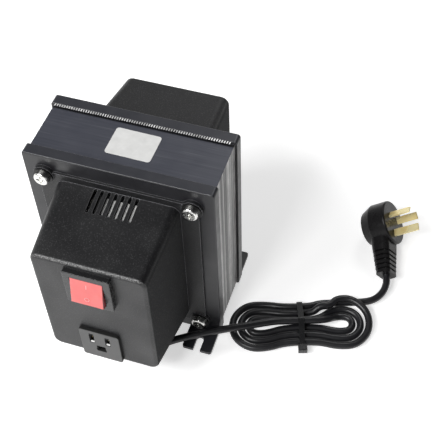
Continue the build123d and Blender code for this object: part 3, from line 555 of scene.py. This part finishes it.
earth_middle = Vector((-0.6, 0, 41.6)) * MM
earth_radius = 4.2 * MM
earth_band_middle, earth_band_reach = 43.5 * MM, 3.4 * MM
front_place = tree.nodes.new("ShaderNodeCombineXYZ")
tree.links.new(place_along(tree, "X"), front_place.inputs["X"])
tree.links.new(place_along(tree, "Z"), front_place.inputs["Z"])
off_middle = tree.nodes.new("ShaderNodeVectorMath")
off_middle.operation = "DISTANCE"
off_middle.inputs[1].default_value = earth_middle
tree.links.new(front_place.outputs["Vector"], off_middle.inputs[0])
round_spot = within(tree, off_middle.outputs["Value"], 0, earth_radius)
above_foot = within(tree, place_along(tree, "Z"), earth_band_middle, earth_band_reach)
earth_hole = multiply(tree, round_spot, above_foot)

# %% Outlet: the finish
moulding = ramp(tree, noise(tree, 8 * MM), (0.3, 0.036), (0.7, 0.054))
# Painted highlight: a pale line along the plate's upper edge.
on_upper_edge = within(tree, place_along(tree, "Z"), plate_high[2], 1.2 * MM)
upper_edge_highlight = multiply(tree, edges(tree, 0.5 * MM), on_upper_edge)
moulding = blend(tree, upper_edge_highlight, moulding, (0.5, 0.5, 0.52))
dullness = ramp(tree, noise(tree, 8 * MM), (0.3, 0.36), (0.7, 0.42))
# Each place of painted shade turns black and fully rough.
for shade_place in (multiply(tree, holes, sunk), flanks, neutral_slot, live_slot, earth_hole):
    moulding = blend(tree, shade_place, moulding, (0.002, 0.002, 0.002))
    dullness = blend(tree, shade_place, dullness, (1.0, 1.0, 1.0))
tree.links.new(moulding, shader.inputs["Base Color"])
tree.links.new(dullness, shader.inputs["Roughness"])
bump(tree, shader, noise(tree, 0.5 * MM, detail=2), 0.02 * MM)
dress(outlet_finish, "outlet_body")

# %% [markdown]
# ## Rocker
# The rocker is a red, slightly translucent plastic. Its face is painted a lighter red as painted
# light and sheen, and its sides a deep red as painted shade, so the finish goes by how far the
# surface faces the front.

# %% Rocker
red = (0.85, 0.09, 0.08)
red_finish, tree, shader = new_finish("rocker_red", red, 0.22, specular=0.5, coat=0.3)
# Painted light and shade: a deep red on the sides, a lighter red on the face.
red_in_shade = ramp(tree, noise(tree, 10 * MM), (0.3, (0.26, 0.008, 0.012)), (0.7, (0.32, 0.012, 0.016)))
red_in_light = ramp(tree, noise(tree, 10 * MM), (0.3, (0.78, 0.145, 0.14)), (0.7, (0.83, 0.165, 0.16)))
on_face = turned_to(tree, "Y", -0.6, -0.9)
tree.links.new(blend(tree, on_face, red_in_shade, red_in_light), shader.inputs["Base Color"])
shader.inputs["Subsurface Weight"].default_value = 0.15
shader.inputs["Subsurface Scale"].default_value = 1.5 * MM
bump(tree, shader, noise(tree, 4 * MM), 0.02 * MM)
dress(red_finish, "switch_rocker")

# %% [markdown]
# ## Coil and wires
# The coil is nearly out of sight. Its cloth tape is pale and woven, its winding is varnished
# copper, and the inner wires have the plain colours of their function.

# %% Coil
tape_finish, tree, shader = new_finish("cloth_tape", (0.6, 0.58, 0.5), 0.8)
weave = noise(tree, 0.5 * MM, detail=2, stretch=(4, 1, 1))
cloth = ramp(tree, weave, (0.3, (0.8, 0.79, 0.74)), (0.7, (0.88, 0.87, 0.83)))
tree.links.new(cloth, shader.inputs["Base Color"])
bump(tree, shader, weave, 0.1 * MM)
dress(tape_finish, "coil_tape", "joint_cover")

winding_finish, tree, shader = new_finish("varnished_wire", (0.35, 0.12, 0.04), 0.25, metallic=0.8)
turns = noise(tree, 1.2 * MM, detail=1, stretch=(1, 30, 30))
copper = ramp(tree, turns, (0.35, (0.2, 0.06, 0.02)), (0.6, (0.45, 0.17, 0.06)))
tree.links.new(copper, shader.inputs["Base Color"])
bump(tree, shader, turns, 0.3 * MM)
dress(winding_finish, "coil_winding")

bobbin_finish, tree, shader = new_finish("bobbin_moulding", (0.55, 0.53, 0.45), 0.5)
bump(tree, shader, noise(tree, 1.5 * MM, detail=2), 0.02 * MM)
dress(bobbin_finish, "coil_bobbin", "bolt_sleeves")

# %% Inner wires
for name, colour, wires in (
    ("brown_insulation", (0.16, 0.06, 0.03), ("wire_live",)),
    ("blue_insulation", (0.03, 0.09, 0.4), ("wire_neutral", "wire_outlet_neutral")),
    ("green_insulation", (0.1, 0.35, 0.06), ("wire_earth",)),
    ("black_insulation", (0.02, 0.02, 0.02), ("wire_switch", "wire_outlet_live")),
):
    insulation, tree, shader = new_finish(name, colour, 0.4)
    bump(tree, shader, noise(tree, 1.5 * MM, detail=2), 0.02 * MM)
    dress(insulation, *wires)

# %% [markdown]
# ## Thin pieces
# A few pieces are too fine for CAD: the label, the ends of two contacts, a card under the vents,
# a toothed strip and the marks on the rocker. Each is built up in a bmesh, starting from a
# square or a block, and then becomes an object.

# %% Helpers for thin pieces
def add_block(mesh_data, low, high):
    """Adds a block between two corners and returns its vertices."""
    made = bmesh.ops.create_cube(mesh_data, size=1)["verts"]
    middle = (Vector(low) + Vector(high)) / 2
    size = Vector(high) - Vector(low)
    bmesh.ops.scale(mesh_data, vec=size, verts=made)
    bmesh.ops.translate(mesh_data, vec=middle, verts=made)
    return made


def finish_mesh(mesh_data, name, finish, body="converter"):
    """Makes an object of a bmesh, gives it a finish and lets it ride on a body."""
    bmesh.ops.recalc_face_normals(mesh_data, faces=mesh_data.faces)
    mesh = bpy.data.meshes.new(name)
    mesh_data.to_mesh(mesh)
    mesh_data.free()
    mesh.materials.append(finish)
    piece = bpy.data.objects.new(name, mesh)
    bpy.context.scene.collection.objects.link(piece)
    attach(piece, body)
    return piece


# %% [markdown]
# ## Label
# A blank paper label with rounded corners lies on the core. It starts as one square, which is
# scaled to size, has its corners bevelled and is extruded to the thickness of paper.

# %% Label
core_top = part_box("e_laminations")[1][2]
label_width = 34.8 * MM
label_depth = 25.5 * MM
label_corner = 2.2 * MM
paper = 0.15 * MM
glue = 0.02 * MM
label_place = Vector((0.8 * MM, 5.5 * MM, core_top + glue))
label_turn = math.radians(-0.8)

sheet = bmesh.new()
bmesh.ops.create_grid(sheet, x_segments=1, y_segments=1, size=0.5)
bmesh.ops.scale(sheet, vec=(label_width, label_depth, 1), verts=sheet.verts)
bmesh.ops.bevel(
    sheet,
    geom=sheet.verts,
    offset=label_corner,
    segments=6,
    profile=0.5,
    affect="VERTICES",
    material=-1,
)
top = bmesh.ops.extrude_face_region(sheet, geom=sheet.faces)
raised = [item for item in top["geom"] if isinstance(item, bmesh.types.BMVert)]
bmesh.ops.translate(sheet, vec=(0, 0, paper), verts=raised)
bmesh.ops.rotate(sheet, matrix=Matrix.Rotation(label_turn, 3, "Z"), verts=sheet.verts)
bmesh.ops.translate(sheet, vec=label_place, verts=sheet.verts)

paper_finish, tree, shader = new_finish("label_paper", (0.8, 0.8, 0.79), 0.35)
vary(tree, shader, "Base Color", 6 * MM, 3, (0.68, 0.68, 0.67), (0.76, 0.76, 0.75))
bump(tree, shader, noise(tree, 1.2 * MM, detail=3), 0.02 * MM)
label = finish_mesh(sheet, "label", paper_finish)
print("label:", len(label.data.polygons), "faces")

# %% [markdown]
# ## Contact tips
# Behind each blade slot of the outlet the end of a nickelled spring leaf catches the light. Each
# is one small block, turned to face up and out, just behind the face of the outlet.

# %% Contact tips
blade_reach = 6.35 * MM
tip_middle = -0.6 * MM
tip_depth = 0.6 * MM
tip_size = Vector((2.8, 0.3, 1.2)) * MM
tip_slant = math.radians(-35)
tips = bmesh.new()
for side, tip_rise in ((-1, 2.9 * MM), (1, 3.7 * MM)):
    tip = bmesh.ops.create_cube(tips, size=1)["verts"]
    bmesh.ops.scale(tips, vec=tip_size, verts=tip)
    bmesh.ops.rotate(tips, matrix=Matrix.Rotation(tip_slant, 3, "X"), verts=tip)
    place = (tip_middle + side * blade_reach, plate_low[1] + tip_depth, plate_middle.z + tip_rise)
    bmesh.ops.translate(tips, vec=place, verts=tip)
nickel_finish, tree, shader = new_finish("nickel_leaf", (0.85, 0.85, 0.84), 0.45, metallic=0.3)
vary(tree, shader, "Roughness", 1.5 * MM, 2, 0.35, 0.55)
finish_mesh(tips, "contact_tips", nickel_finish)

# %% [markdown]
# ## Card under the vents
# Something pale lies close behind the vents. It is made as a strip of insulating card that
# follows the slope of the cap's top, just under its inner face. Its left end is painted dark as
# painted shade, so the left vents stay dark.

# %% Vent card
ceiling_at_mouth = 152.9 * MM
ceiling_slope = math.radians(10.17)
card_gap = 0.1 * MM
card_thickness = 0.3 * MM
card_left, card_right = -12.2 * MM, 18.6 * MM
card_front, card_back = -48.4 * MM, -32.0 * MM

card = bmesh.new()
bmesh.ops.create_cube(card, size=1)
card_length = (card_back - card_front) / math.cos(ceiling_slope)
bmesh.ops.scale(card, vec=(card_right - card_left, card_length, card_thickness), verts=card.verts)
bmesh.ops.rotate(card, matrix=Matrix.Rotation(ceiling_slope, 3, "X"), verts=card.verts)
card_middle = Vector(((card_left + card_right) / 2, (card_front + card_back) / 2, 0))
ceiling = ceiling_at_mouth - (cap_mouth - card_middle.y) * math.tan(ceiling_slope)
card_middle.z = ceiling - (card_gap + card_thickness / 2) / math.cos(ceiling_slope)
bmesh.ops.translate(card, vec=card_middle, verts=card.verts)

card_finish, tree, shader = new_finish("pale_card", (0.85, 0.84, 0.8), 0.6)
fibres = noise(tree, 1.5 * MM, detail=3)
pale = ramp(tree, fibres, (0.3, (0.82, 0.82, 0.8)), (0.7, (0.92, 0.91, 0.9)))
# Painted shade: the card turns dark towards its left end.
shade_until, unshaded_from = -10.0 * MM, 0.0
unshaded = between(tree, place_along(tree, "X"), shade_until, unshaded_from)
tree.links.new(blend(tree, unshaded, (0.03, 0.03, 0.03), pale), shader.inputs["Base Color"])
finish_mesh(card, "vent_card", card_finish)

# %% [markdown]
# ## Toothed strip
# A fine toothed strip runs along the front face of the rear frame's rim, just under its upper
# edge. One tooth is a small wedge: a thin block that leans to the right and whose lower front
# edge is drawn forward. It is made again along the rim as often as it fits.

# %% Toothed strip
strip_margin = 1.0 * MM
rim_drop = 0.25 * MM
tooth_pitch = 1.9 * MM
tooth_width = 0.85 * MM
tooth_height = 1.5 * MM
tooth_depth = 1.0 * MM
tooth_lean = 0.7 * MM
strip_depth = 0.15 * MM
strip_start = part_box("e_laminations")[0][0] + strip_margin
strip_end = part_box("i_laminations")[1][0] - strip_margin
strip_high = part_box("rear_frame")[1][2] - rim_drop
strip_low = strip_high - tooth_height
tooth_count = int((strip_end - strip_start) / tooth_pitch)
print("teeth:", tooth_count, "rim front at", round(rim_front / MM, 2))

teeth = bmesh.new()
for tooth in range(tooth_count):
    left = strip_start + tooth * tooth_pitch
    wedge = add_block(
        teeth,
        (left, rim_front - strip_depth, strip_low),
        (left + tooth_width, rim_front, strip_high),
    )
    front = [vert for vert in wedge if vert.co.y < rim_front - strip_depth / 2]
    foot = [vert for vert in front if vert.co.z < strip_low + tooth_height / 2]
    bmesh.ops.translate(teeth, vec=(0, -tooth_depth, 0), verts=foot)
    tip = [vert for vert in wedge if vert.co.z > strip_low + tooth_height / 2]
    bmesh.ops.translate(teeth, vec=(tooth_lean, 0, 0), verts=tip)

# Painted highlight: the teeth are pale, brighter in patches.
teeth_finish, tree, shader = new_finish("toothed_highlight", (0.6, 0.6, 0.61), 0.35, metallic=0.3)
highlight_patches = noise(tree, 16 * MM, detail=2, stretch=(1, 8, 8))
tree.links.new(ramp(tree, highlight_patches, (0.4, 0.45), (0.6, 0.95)), shader.inputs["Base Color"])
finish_mesh(teeth, "toothed_strip", teeth_finish)

# %% [markdown]
# ## Marks on the rocker
# The line and the ring are printed on the rocker, so they are thin raised pieces that ride on
# it. Each is made flat round the origin and then laid on the tilted face.

# %% Rocker marks
rocker_pivot = Vector((0.4, -90.346, 123.2)) * MM
rocker_tilt = math.radians(11.0)
rocker_face = 4.5 * MM
mark_rise = 6.0 * MM
mark_reach = 1.9 * MM
line_reach = 0.3 * MM
ring_width = 0.45 * MM
print_thickness = 0.06 * MM
face_out = Vector((0, -math.cos(rocker_tilt), math.sin(rocker_tilt)))
face_up = Vector((0, math.sin(rocker_tilt), math.cos(rocker_tilt)))
face_turn = Matrix((Vector((1, 0, 0)), face_up, face_out)).transposed()


def lay_on_rocker(mesh_data, height):
    """Turns a flat mark on to the rocker's face, at a height above its middle."""
    place = rocker_pivot + face_out * rocker_face + face_up * height
    bmesh.ops.rotate(mesh_data, matrix=face_turn, verts=mesh_data.verts)
    bmesh.ops.translate(mesh_data, vec=place, verts=mesh_data.verts)


mark_finish, tree, shader = new_finish("rocker_print", (0.85, 0.35, 0.35), 0.35)
vary(tree, shader, "Base Color", 0.8 * MM, 2, (0.78, 0.25, 0.25), (0.9, 0.45, 0.45))

line = bmesh.new()
add_block(line, (-line_reach, -mark_reach, 0), (line_reach, mark_reach, print_thickness))
lay_on_rocker(line, mark_rise)
finish_mesh(line, "on_mark", mark_finish, body="rocker")

ring = bmesh.new()
profile = [
    ring.verts.new((mark_reach, 0, 0)),
    ring.verts.new((mark_reach, 0, print_thickness)),
    ring.verts.new((mark_reach - ring_width, 0, print_thickness)),
    ring.verts.new((mark_reach - ring_width, 0, 0)),
]
profile_edges = [ring.edges.new((profile[place], profile[(place + 1) % 4])) for place in range(4)]
bmesh.ops.spin(
    ring,
    geom=profile + profile_edges,
    axis=(0, 0, 1),
    cent=(0, 0, 0),
    steps=36,
    angle=math.radians(360),
    use_merge=True,
)
lay_on_rocker(ring, -mark_rise)
finish_mesh(ring, "off_mark", mark_finish, body="rocker")

# %% [markdown]
# ## Stage and light
# The converter stands on white paper. The paper is lit like everything else, so it keeps the
# shadow, and a glow that only the camera, mirrors and glass see lifts it to white. A wide soft
# lamp at the upper left throws the shadow to the right, and smaller ones in front and at the
# back pick out the edges. The camera sees a white room, but the room that lights the part is
# pale low down, dark above and dim on the right. So black faces that look up stay black,
# and those that look forward get a grey sheen.

# %% Floor
floor_size = 6.0
floor_drop = 0.2 * MM
paper_glow = 0.56
mirrored_glow = 0.5
ground = bmesh.new()
bmesh.ops.create_grid(ground, x_segments=1, y_segments=1, size=floor_size / 2)
bmesh.ops.translate(ground, vec=(0, 0, -floor_drop), verts=ground.verts)
floor_mesh = bpy.data.meshes.new("floor")
ground.to_mesh(floor_mesh)
ground.free()
floor = bpy.data.objects.new("floor", floor_mesh)
bpy.context.scene.collection.objects.link(floor)
floor_finish, tree, shader = new_finish("white_paper", (0.88, 0.88, 0.88), 0.6)
path = tree.nodes.new("ShaderNodeLightPath")
glow = None
for kind, strength in (
    ("Is Camera Ray", paper_glow),
    ("Is Glossy Ray", mirrored_glow),
    ("Is Transmission Ray", mirrored_glow),
):
    share = tree.nodes.new("ShaderNodeMath")
    share.operation = "MULTIPLY_ADD"
    share.inputs[1].default_value = strength
    share.inputs[2].default_value = 0
    tree.links.new(path.outputs[kind], share.inputs[0])
    if glow:
        tree.links.new(glow.outputs["Value"], share.inputs[2])
    glow = share
shader.inputs["Emission Color"].default_value = (1, 1, 1, 1)
tree.links.new(glow.outputs["Value"], shader.inputs["Emission Strength"])
floor_mesh.materials.append(floor_finish)

# %% World and lamps
world = bpy.data.worlds.new("studio")
bpy.context.scene.world = world
world.use_nodes = True
tree = world.node_tree
backdrop = tree.nodes["Background"]
outlook = tree.nodes.new("ShaderNodeTexCoord")
direction = tree.nodes.new("ShaderNodeSeparateXYZ")
tree.links.new(outlook.outputs["Generated"], direction.inputs["Vector"])
sky = ramp(tree, direction.outputs["Z"], (0.0, 0.8), (0.3, 0.4), (0.6, 0.08), (1.0, 0.06))
dim_side = ramp(tree, direction.outputs["X"], (0.1, 1.0), (0.7, 0.3))
room = multiply(tree, sky, dim_side)
path = tree.nodes.new("ShaderNodeLightPath")
view = blend(tree, path.outputs["Is Camera Ray"], room, (1.0, 1.0, 1.0))
tree.links.new(view, backdrop.inputs["Color"])
backdrop.inputs["Strength"].default_value = 1.0


def soft_lamp(name, place, aim, size, power):
    """A square area lamp at a place that shines at an aim."""
    light = bpy.data.lights.new(name, "AREA")
    light.shape = "SQUARE"
    light.size = size
    light.energy = power
    lamp = bpy.data.objects.new(name, light)
    lamp.location = place
    lamp.rotation_euler = (Vector(aim) - Vector(place)).to_track_quat("-Z", "Y").to_euler()
    bpy.context.scene.collection.objects.link(lamp)


soft_lamp("key_lamp", (-1.1, -1.0, 1.6), (0.02, 0, 0.06), 0.9, 36)
soft_lamp("front_lamp", (-0.3, -1.35, 1.7), (0, 0, 0.1), 0.4, 14)
soft_lamp("back_lamp", (0.1, 1.5, 1.6), (0, 0, 0.1), 0.6, 7)

bpy.context.scene.view_settings.view_transform = "Standard"
